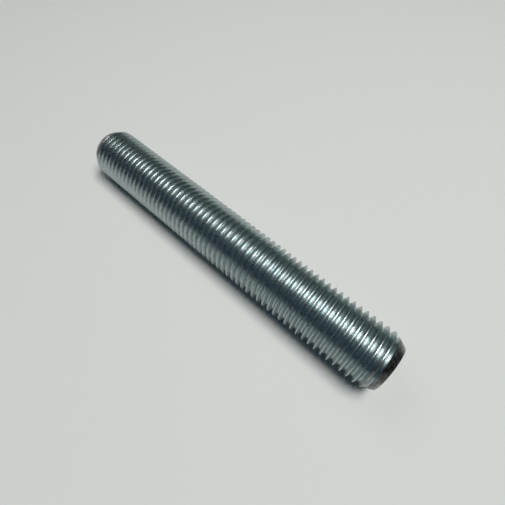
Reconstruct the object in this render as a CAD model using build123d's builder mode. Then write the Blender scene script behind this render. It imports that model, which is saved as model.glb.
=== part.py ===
"""A stud of fully threaded rod: one steel bar with a metric coarse thread from end to end.

The rod stands on one end. Its axis is +Z, and its origin is the centre of the lower end face.
"""

from build123d import *
import math
import os

# Driving dimensions, in millimetres and degrees
length = 146.0  # between the two end faces
thread_diameter = 22.0  # over the crests
pitch = 2.5  # between neighbouring crests, along the axis
groove_start = 0.9  # how far up the axis the groove is set; it decides where the groove runs out on the end cones
thread_angle = 60.0  # between the two flanks of a groove
end_face_diameter = 17.0  # the flat left inside each end chamfer
end_chamfer_angle = 30.0  # between the cone on each end and the axis
cutter_overlap = 0.25  # how far the groove's cutter stands out past the crests

# The standard metric profile: a sharp triangle, with its crest cut flat and its root rounded
half_angle = math.radians(thread_angle / 2)
triangle_height = pitch / 2 / math.tan(half_angle)
crest_flat = pitch / 8
root_radius = triangle_height / 6
mouth_half_width = (pitch - crest_flat) / 2
apex_depth = mouth_half_width / math.tan(half_angle)

# The plain bar, and the cone on each end of it
crest_radius = thread_diameter / 2
end_face_radius = end_face_diameter / 2
chamfer_length = (crest_radius - end_face_radius) / math.tan(math.radians(end_chamfer_angle))

# One turn of the groove, right-handed, as a solid cutter. It starts below the lower end.
with BuildPart() as groove_turn:
    turn_path = Helix(
        pitch=pitch,
        height=pitch,
        radius=crest_radius,
        center=(0, 0, groove_start - pitch),
        mode=Mode.PRIVATE,
    )
    # The groove's section, in a plane through the axis: x runs outwards from the crests, y along the axis
    with BuildSketch(Plane(origin=turn_path @ 0, x_dir=(1, 0, 0), z_dir=(0, -1, 0))) as section:
        with BuildLine():
            Polyline(
                (-apex_depth, 0),
                (0, -mouth_half_width),
                (cutter_overlap, -mouth_half_width),
                (cutter_overlap, mouth_half_width),
                (0, mouth_half_width),
                close=True,
            )
        make_face()
        root = section.vertices().sort_by(Axis.X)[0]
        fillet(root, radius=root_radius)
    sweep(path=turn_path, is_frenet=True)

# The rod: the bar, turned to the crest diameter, with the groove cut turn by turn right off both ends.
# The bar is turned from the plane where y is up, so that its seam is clear of the joins between turns.
with BuildPart() as threaded_rod:
    with BuildSketch(Plane.YZ):
        with BuildLine():
            Polyline(
                (0, 0),
                (end_face_radius, 0),
                (crest_radius, chamfer_length),
                (crest_radius, length - chamfer_length),
                (end_face_radius, length),
                (0, length),
                close=True,
            )
        make_face()
    revolve(axis=Axis.Z)

    turns = math.ceil(length / pitch) + 2
    for first in (0, 1):
        with Locations(*[(0, 0, turn * pitch) for turn in range(first, turns, 2)]):
            add(groove_turn.part, mode=Mode.SUBTRACT)

threaded_rod.part.label = "threaded_rod"

os.makedirs("parts", exist_ok=True)
export_step(threaded_rod.part, "parts/threaded_rod.step")
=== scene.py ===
"""A stud of threaded rod in bright zinc plating: the thread as it is rolled, the turned cones and faces at its
ends, the sheet of paper that it lies against, and the light over it.

The rod stands on one end along Z. The paper is upright behind it, at its +Y side, and touches the crests."""

import math

import bpy
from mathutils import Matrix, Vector


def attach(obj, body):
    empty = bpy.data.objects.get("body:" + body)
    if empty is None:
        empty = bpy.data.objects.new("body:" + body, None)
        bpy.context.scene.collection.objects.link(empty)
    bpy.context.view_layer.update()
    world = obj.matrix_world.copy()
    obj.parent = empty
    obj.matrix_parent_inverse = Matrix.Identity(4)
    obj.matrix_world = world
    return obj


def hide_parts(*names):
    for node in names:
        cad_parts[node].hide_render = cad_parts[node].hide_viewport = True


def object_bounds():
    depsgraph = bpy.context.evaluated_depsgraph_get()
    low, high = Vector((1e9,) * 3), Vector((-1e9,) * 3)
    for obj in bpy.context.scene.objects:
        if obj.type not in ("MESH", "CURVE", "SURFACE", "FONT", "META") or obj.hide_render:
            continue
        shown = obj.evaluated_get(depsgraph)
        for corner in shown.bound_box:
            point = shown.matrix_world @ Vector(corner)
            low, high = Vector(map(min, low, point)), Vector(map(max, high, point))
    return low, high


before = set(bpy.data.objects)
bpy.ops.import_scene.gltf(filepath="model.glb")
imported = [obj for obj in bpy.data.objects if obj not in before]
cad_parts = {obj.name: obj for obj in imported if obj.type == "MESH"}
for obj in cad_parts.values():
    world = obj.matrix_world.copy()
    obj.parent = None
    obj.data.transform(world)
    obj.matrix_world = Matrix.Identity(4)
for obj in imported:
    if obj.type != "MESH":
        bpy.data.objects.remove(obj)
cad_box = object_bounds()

# ---------------------------------------------------------------- sizes, in metres
low, high = cad_box
length = high.z - low.z
crest_radius = (high.x - low.x) / 2
pitch = 0.0025
groove_start = 0.0009  # how far up the axis the groove is set
crest_flat = pitch / 8
flank_angle = math.radians(30)  # between a flank and the plane across the axis
groove_depth = (pitch - crest_flat) / 2 / math.tan(flank_angle)
root_round = 0.00036  # radius in the bottom of the groove
crest_round = 0.00008  # radius of each corner of a crest
end_face_radius = 0.0085
cone_angle = math.radians(30)  # between an end cone and the axis
end_edge_round = 0.00008  # on the edge between an end cone and its face
steps_a_turn = 96
lead_in = 2.5 * pitch  # how far below the rod's lower end the screw starts
spare_turns = 4  # turns drawn beyond the rod's length, to be cut off
blank_margin = 0.001  # how far the blank stands out past the crests


# ---------------------------------------------------------------- small helpers for edit mode
def edit(piece):
    """Opens one piece in edit mode, with nothing in it selected."""
    bpy.ops.object.select_all(action="DESELECT")
    piece.select_set(True)
    bpy.context.view_layer.objects.active = piece
    bpy.ops.object.mode_set(mode="EDIT")
    bpy.ops.mesh.select_mode(type="VERT")
    bpy.ops.mesh.select_all(action="DESELECT")


def pick(piece, element, wanted):
    """Selects the vertices, edges or faces of the open piece that pass a test, and only those."""
    bpy.ops.mesh.select_mode(type={"vertices": "VERT", "edges": "EDGE", "polygons": "FACE"}[element])
    bpy.ops.mesh.select_all(action="DESELECT")
    bpy.ops.object.mode_set(mode="OBJECT")
    for e in getattr(piece.data, element):
        e.select = wanted(e)
    bpy.ops.object.mode_set(mode="EDIT")


def apply(piece, name):
    """Applies one modifier of a piece."""
    bpy.ops.object.select_all(action="DESELECT")
    piece.select_set(True)
    bpy.context.view_layer.objects.active = piece
    bpy.ops.object.modifier_apply(modifier=name)


# ---------------------------------------------------------------- the threaded rod
def rolled_thread():
    """The thread as a long screw, a few turns longer than the rod at each end, with both ends closed."""
    first_crest = groove_start - lead_in  # the middle of the crest that the section starts on, at azimuth 0
    bpy.ops.object.select_all(action="DESELECT")
    bpy.ops.mesh.primitive_plane_add(size=crest_flat / 2, location=(crest_radius, 0, first_crest))
    thread = bpy.context.object
    thread.name = "threaded_rod_visual"
    bpy.ops.object.transform_apply(location=True, rotation=True, scale=True)

    # Shrink the square to the point where the section starts, and draw the section on from there, upwards
    edit(thread)
    bpy.ops.mesh.select_all(action="SELECT")
    bpy.ops.mesh.merge(type="CENTER")

    def draw_to(radius, height):
        """Draws a straight line on to a point of the section."""
        dx, dz = radius - draw_to.pen[0], height - draw_to.pen[1]
        bpy.ops.mesh.extrude_region_move(TRANSFORM_OT_translate={"value": (dx, 0, dz)})
        draw_to.pen = (radius, height)

    def draw_arc(radius, height, r, start, end, segments):
        """Draws on along an arc of radius r about a point of the section, between two angles in degrees."""
        for i in range(segments + 1):
            a = math.radians(start + (end - start) * i / segments)
            draw_to(radius + r * math.cos(a), height + r * math.sin(a))

    draw_to.pen = (crest_radius, first_crest)
    mid_groove = first_crest + pitch / 2
    corner = crest_flat / 2 - crest_round * math.tan(flank_angle)  # where the crest's flat ends
    root = crest_radius - groove_depth + root_round / math.sin(flank_angle)  # the centre of the root's arc
    draw_arc(crest_radius - crest_round, first_crest + corner, crest_round, 0, 60, 3)
    draw_arc(root, mid_groove, root_round, 240, 120, 6)
    draw_arc(crest_radius - crest_round, first_crest + pitch - corner, crest_round, -60, 0, 3)
    draw_to(crest_radius, first_crest + pitch)
    bpy.ops.object.mode_set(mode="OBJECT")

    screw = thread.modifiers.new("thread", "SCREW")
    screw.axis = "Z"
    screw.angle = 2 * math.pi
    screw.screw_offset = pitch
    screw.iterations = math.ceil(length / pitch) + spare_turns
    screw.steps = steps_a_turn
    screw.render_steps = steps_a_turn
    screw.use_merge_vertices = False
    apply(thread, "thread")

    edit(thread)
    bpy.ops.mesh.select_all(action="SELECT")
    bpy.ops.mesh.remove_doubles(threshold=1e-6)
    # Cut both ends square, a pitch beyond the rod's own ends, which closes them
    for z, up in ((-pitch, -1), (length + pitch, 1)):
        bpy.ops.mesh.select_all(action="SELECT")
        bpy.ops.mesh.bisect(plane_co=(0, 0, z), plane_no=(0, 0, up), use_fill=True, clear_outer=True,
                            threshold=1e-7)
    bpy.ops.mesh.select_all(action="SELECT")
    bpy.ops.mesh.normals_make_consistent(inside=False)
    bpy.ops.object.mode_set(mode="OBJECT")
    return thread


def turned_blank():
    """The round blank, wider than the thread, whose ends are turned to a cone with a flat face."""
    wide = crest_radius + blank_margin
    cone = (wide - end_face_radius) / math.tan(cone_angle)
    bpy.ops.object.select_all(action="DESELECT")
    bpy.ops.mesh.primitive_cylinder_add(vertices=192, radius=wide, depth=length - 2 * cone,
                                        location=(0, 0, length / 2), end_fill_type="NGON")
    blank = bpy.context.object
    bpy.ops.object.transform_apply(location=True, rotation=True, scale=True)
    edit(blank)
    for up in (1, -1):
        pick(blank, "polygons", lambda p: p.normal.z * up > 0.9)
        bpy.ops.mesh.extrude_region_move(TRANSFORM_OT_translate={"value": (0, 0, up * cone)})
        bpy.ops.transform.resize(value=(end_face_radius / wide, end_face_radius / wide, 1),
                                 center_override=(0, 0, length / 2 + up * length / 2))

    def on_end_edge(e):
        ends = [blank.data.vertices[i].co for i in e.vertices]
        return all(min(p.z, length - p.z) < 1e-6 for p in ends)

    # Break the sharp edge between each cone and its face
    pick(blank, "edges", on_end_edge)
    bpy.ops.mesh.bevel(offset=end_edge_round, segments=3, affect="EDGES")
    bpy.ops.object.mode_set(mode="OBJECT")
    return blank


def threaded_rod():
    """The thread, cut to the shape of the turned blank."""
    rod = rolled_thread()
    blank = turned_blank()
    cut = rod.modifiers.new("ends", "BOOLEAN")
    cut.operation = "INTERSECT"
    cut.solver = "MANIFOLD"
    cut.object = blank
    apply(rod, "ends")
    bpy.data.objects.remove(blank, do_unlink=True)
    return rod


rod = threaded_rod()


# ---------------------------------------------------------------- materials
def node(tree, kind, **values):
    """A new node, with values for its inputs or, where it has no such input, its settings."""
    made = tree.nodes.new(kind)
    for name, value in values.items():
        if name in made.inputs:
            made.inputs[name].default_value = value
        else:
            setattr(made, name, value)
    return made


def maths(tree, operation, first, second):
    """A Math node on two values, each a number or another node's output."""
    made = node(tree, "ShaderNodeMath", operation=operation)
    for socket, value in zip(made.inputs, (first, second)):
        if isinstance(value, (int, float)):
            socket.default_value = value
        else:
            tree.links.new(value, socket)
    return made.outputs[0]


def spread(tree, value, low_in, high_in, low_out, high_out):
    """A value moved from one range to another."""
    made = node(tree, "ShaderNodeMapRange")
    tree.links.new(value, made.inputs["Value"])
    for name, limit in (("From Min", low_in), ("From Max", high_in), ("To Min", low_out), ("To Max", high_out)):
        made.inputs[name].default_value = limit
    return made.outputs["Result"]


def two_tints(tree, value, low_in, high_in, dark, light):
    """A colour between two tints, by a value."""
    made = node(tree, "ShaderNodeValToRGB")
    first, last = made.color_ramp.elements
    first.position, last.position = low_in, high_in
    first.color, last.color = (*dark, 1), (*light, 1)
    tree.links.new(value, made.inputs["Fac"])
    return made.outputs["Color"]


def raised(tree, height, distance, strength=1.0, under=None):
    """A bump of some depth in metres, over another bump if one is given."""
    made = node(tree, "ShaderNodeBump", Strength=strength, Distance=distance)
    tree.links.new(height, made.inputs["Height"])
    if under is not None:
        tree.links.new(under, made.inputs["Normal"])
    return made.outputs["Normal"]


def metal(name):
    """A new metallic material: itself, its node tree, its shader and the piece's own coordinates."""
    material = bpy.data.materials.new(name)
    material.use_nodes = True
    tree = material.node_tree
    shader = tree.nodes["Principled BSDF"]
    shader.inputs["Metallic"].default_value = 1.0
    place = node(tree, "ShaderNodeTexCoord").outputs["Object"]
    return material, tree, shader, place


def noise(tree, place, scale, detail=2.0, roughness=0.5, **more):
    """A noise texture in the piece's own coordinates."""
    made = node(tree, "ShaderNodeTexNoise", Scale=scale, Detail=detail, Roughness=roughness, **more)
    tree.links.new(place, made.inputs["Vector"])
    return made


def bright_zinc():
    """Bright zinc plating over the rolled thread, faintly blue, with the dies' fine lines along the groove."""
    material, tree, shader, place = metal("bright_zinc_plating")

    # How far across the thread's section a point is, from one crest to the next: 0 to 1
    split = node(tree, "ShaderNodeSeparateXYZ")
    tree.links.new(place, split.inputs[0])
    azimuth = maths(tree, "ARCTAN2", split.outputs["Y"], split.outputs["X"])
    climbed = maths(tree, "SUBTRACT", split.outputs["Z"], maths(tree, "MULTIPLY", azimuth, pitch / 2 / math.pi))
    crest_below = groove_start - 10.5 * pitch  # a crest well below the rod, so that the count stays above 0
    turns_up = maths(tree, "DIVIDE", maths(tree, "SUBTRACT", climbed, crest_below), pitch)
    across = maths(tree, "FRACT", turns_up, 0)

    die_lines = noise(tree, place, 140.0, detail=3.0, noise_dimensions="4D")
    tree.links.new(maths(tree, "MULTIPLY", across, 26.0), die_lines.inputs["W"])

    patches = noise(tree, place, 420.0, detail=3.0, roughness=0.55)
    tint = maths(tree, "ADD", maths(tree, "MULTIPLY", patches.outputs["Fac"], 0.6),
                  maths(tree, "MULTIPLY", die_lines.outputs["Fac"], 0.4))
    tree.links.new(two_tints(tree, tint, 0.34, 0.66, (0.36, 0.43, 0.44), (0.46, 0.525, 0.52)),
                   shader.inputs["Base Color"])

    haze = noise(tree, place, 900.0, detail=4.0, roughness=0.6)
    tree.links.new(spread(tree, haze.outputs["Fac"], 0.3, 0.7, 0.24, 0.36), shader.inputs["Roughness"])

    waves = noise(tree, place, 450.0)
    grain = noise(tree, place, 5200.0)
    wavy = raised(tree, waves.outputs["Fac"], 0.000012)
    lined = raised(tree, die_lines.outputs["Fac"], 0.000006, under=wavy)
    tree.links.new(raised(tree, grain.outputs["Fac"], 0.000005, 0.2, under=lined), shader.inputs["Normal"])
    return material


def turned_steel():
    """The turned cones and faces at the ends: darker than the thread, stained, with tool marks."""
    material, tree, shader, place = metal("turned_end_steel")
    stains = noise(tree, place, 260.0, detail=4.0, roughness=0.6)
    tree.links.new(two_tints(tree, stains.outputs["Fac"], 0.35, 0.65, (0.07, 0.073, 0.072), (0.36, 0.36, 0.35)),
                   shader.inputs["Base Color"])
    haze = noise(tree, place, 700.0, detail=3.0)
    tree.links.new(spread(tree, haze.outputs["Fac"], 0.3, 0.7, 0.22, 0.42), shader.inputs["Roughness"])

    # Tool marks: rings round the axis, on the cones and on the flat faces alike
    split = node(tree, "ShaderNodeSeparateXYZ")
    tree.links.new(place, split.inputs[0])
    flat = node(tree, "ShaderNodeCombineXYZ")
    tree.links.new(split.outputs["X"], flat.inputs["X"])
    tree.links.new(split.outputs["Y"], flat.inputs["Y"])
    radius = node(tree, "ShaderNodeVectorMath", operation="LENGTH")
    tree.links.new(flat.outputs[0], radius.inputs[0])
    rings = noise(tree, place, 60.0, detail=2.0, noise_dimensions="4D")
    tree.links.new(maths(tree, "MULTIPLY", radius.outputs["Value"], 140.0), rings.inputs["W"])
    rough = noise(tree, place, 1500.0, detail=3.0)
    ringed = raised(tree, rings.outputs["Fac"], 0.00002)
    tree.links.new(raised(tree, rough.outputs["Fac"], 0.00001, 0.6, under=ringed), shader.inputs["Normal"])
    return material


def on_end(polygon):
    """Whether a face of the rod belongs to one of its end cones or end faces."""
    x, y, z = polygon.center
    inset = min(z, length - z)
    cone_radius = end_face_radius + inset * math.tan(cone_angle)
    on_face = inset < 1e-5
    on_cone = math.hypot(x, y) > cone_radius - 1.5e-5
    return on_face or on_cone


rod.data.materials.clear()
rod.data.materials.append(bright_zinc())
rod.data.materials.append(turned_steel())
edit(rod)
pick(rod, "polygons", on_end)
rod.active_material_index = 1
bpy.ops.object.material_slot_assign()
bpy.ops.object.mode_set(mode="OBJECT")

bpy.ops.object.select_all(action="DESELECT")
rod.select_set(True)
bpy.context.view_layer.objects.active = rod
bpy.ops.object.shade_smooth_by_angle(angle=math.radians(28))
# Let the wide flanks, crests and cones stay flat, and the small rounds take up the turn between them
even = rod.modifiers.new("flats", "WEIGHTED_NORMAL")
even.mode = "FACE_AREA"
even.weight = 100
even.keep_sharp = True
apply(rod, "flats")
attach(rod, "root")
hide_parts("threaded_rod")


# ---------------------------------------------------------------- the paper behind the rod
def paper_sheet():
    """The sheet of paper that the rod lies against."""
    bpy.ops.object.select_all(action="DESELECT")
    bpy.ops.mesh.primitive_plane_add(size=1.6, location=(0, crest_radius, length / 2), rotation=(math.pi / 2, 0, 0))
    paper = bpy.context.object
    paper.name = "paper"
    material = bpy.data.materials.new("white_paper")
    material.use_nodes = True
    tree = material.node_tree
    shader = tree.nodes["Principled BSDF"]
    shader.inputs["Roughness"].default_value = 0.85
    shader.inputs["Base Color"].default_value = (0.70, 0.71, 0.68, 1)
    # Only its front is there: from behind it doesn't hide the rod
    behind = node(tree, "ShaderNodeNewGeometry")
    clear = node(tree, "ShaderNodeBsdfTransparent")
    mix = node(tree, "ShaderNodeMixShader")
    tree.links.new(behind.outputs["Backfacing"], mix.inputs["Fac"])
    tree.links.new(shader.outputs["BSDF"], mix.inputs[1])
    tree.links.new(clear.outputs["BSDF"], mix.inputs[2])
    tree.links.new(mix.outputs["Shader"], tree.nodes["Material Output"].inputs["Surface"])
    paper.data.materials.append(material)


paper_sheet()


# ---------------------------------------------------------------- light
def card(name, colour, size, location, facing):
    """A plain card for the metal to reflect. The camera doesn't see it, and it casts no shadow."""
    bpy.ops.object.select_all(action="DESELECT")
    bpy.ops.mesh.primitive_plane_add(size=1, location=location)
    sheet = bpy.context.object
    sheet.name = name
    sheet.scale = (*size, 1)
    sheet.rotation_euler = Vector(facing).to_track_quat("Z", "Y").to_euler()
    material = bpy.data.materials.new(name)
    material.use_nodes = True
    shader = material.node_tree.nodes["Principled BSDF"]
    shader.inputs["Base Color"].default_value = (*colour, 1)
    shader.inputs["Roughness"].default_value = 1.0
    shader.inputs["Specular IOR Level"].default_value = 0.0
    sheet.data.materials.append(material)
    sheet.visible_camera = False
    sheet.visible_shadow = False


def softbox(name, watts, size, location, target):
    """A white area lamp, turned towards a point."""
    lamp = bpy.data.lights.new(name, "AREA")
    lamp.energy = watts
    lamp.shape = "RECTANGLE"
    lamp.size, lamp.size_y = size
    holder = bpy.data.objects.new(name, lamp)
    bpy.context.collection.objects.link(holder)
    holder.location = location
    holder.rotation_euler = (Vector(target) - Vector(location)).to_track_quat("-Z", "Y").to_euler()


softbox("overhead_softbox", 12.3, (0.60, 0.46), (-0.063, -1.18, 0.30), (0, 0, 0.09))
softbox("far_softbox", 1.6, (0.9, 0.6), (-0.10, -1.0, -0.75), (0, 0, 0.03))
card("navy_card", (0.032, 0.080, 0.135), (1.9, 3.0), (0.6, -0.9, 0.1), (-1, 0, 0))
card("grey_card", (0.13, 0.185, 0.185), (1.9, 3.0), (-0.6, -0.9, 0.1), (1, 0, 0))
card("near_card", (0.01, 0.01, 0.01), (1.2, 0.6), (0, -0.27, 0.9), (0, 0, -1))
card("ceiling_card", (0.36, 0.36, 0.32), (1.3, 3.0), (0, -1.8, 0.1), (0, 1, 0))
card("far_card", (0.2, 0.2, 0.19), (1.3, 1.9), (0, -0.9, -1.4), (0, 0, 1))

world = bpy.data.worlds.new("room")
bpy.context.scene.world = world
world.use_nodes = True
tree = world.node_tree
ambient = tree.nodes["Background"]
ambient.inputs["Color"].default_value = (0.75, 0.78, 0.8, 1)
ambient.inputs["Strength"].default_value = 0.08
backdrop = node(tree, "ShaderNodeBackground", Color=(0.66, 0.67, 0.65, 1), Strength=1.0)
rays = node(tree, "ShaderNodeLightPath")
seen = maths(tree, "MAXIMUM", rays.outputs["Is Camera Ray"], rays.outputs["Is Glossy Ray"])
seen = maths(tree, "MAXIMUM", seen, rays.outputs["Is Transmission Ray"])
mix = node(tree, "ShaderNodeMixShader")
tree.links.new(seen, mix.inputs["Fac"])
tree.links.new(ambient.outputs["Background"], mix.inputs[1])
tree.links.new(backdrop.outputs["Background"], mix.inputs[2])
tree.links.new(mix.outputs["Shader"], tree.nodes["World Output"].inputs["Surface"])

# ---------------------------------------------------------------- camera
camera = bpy.data.objects.new("camera", bpy.data.cameras.new("camera"))
bpy.context.collection.objects.link(camera)
camera.location = (0.0618, -0.1253, 0.1245)
camera.rotation_euler = (math.radians(-54.225), math.radians(-46.129), math.radians(180))
camera.data.sensor_width = 36.0
camera.data.lens = 26.27
camera.data.shift_x = 0.0872
camera.data.shift_y = -0.0713
camera.data.clip_start = 0.005
camera.data.clip_end = 20.0
bpy.context.scene.camera = camera

bpy.context.scene.view_settings.view_transform = "Standard"
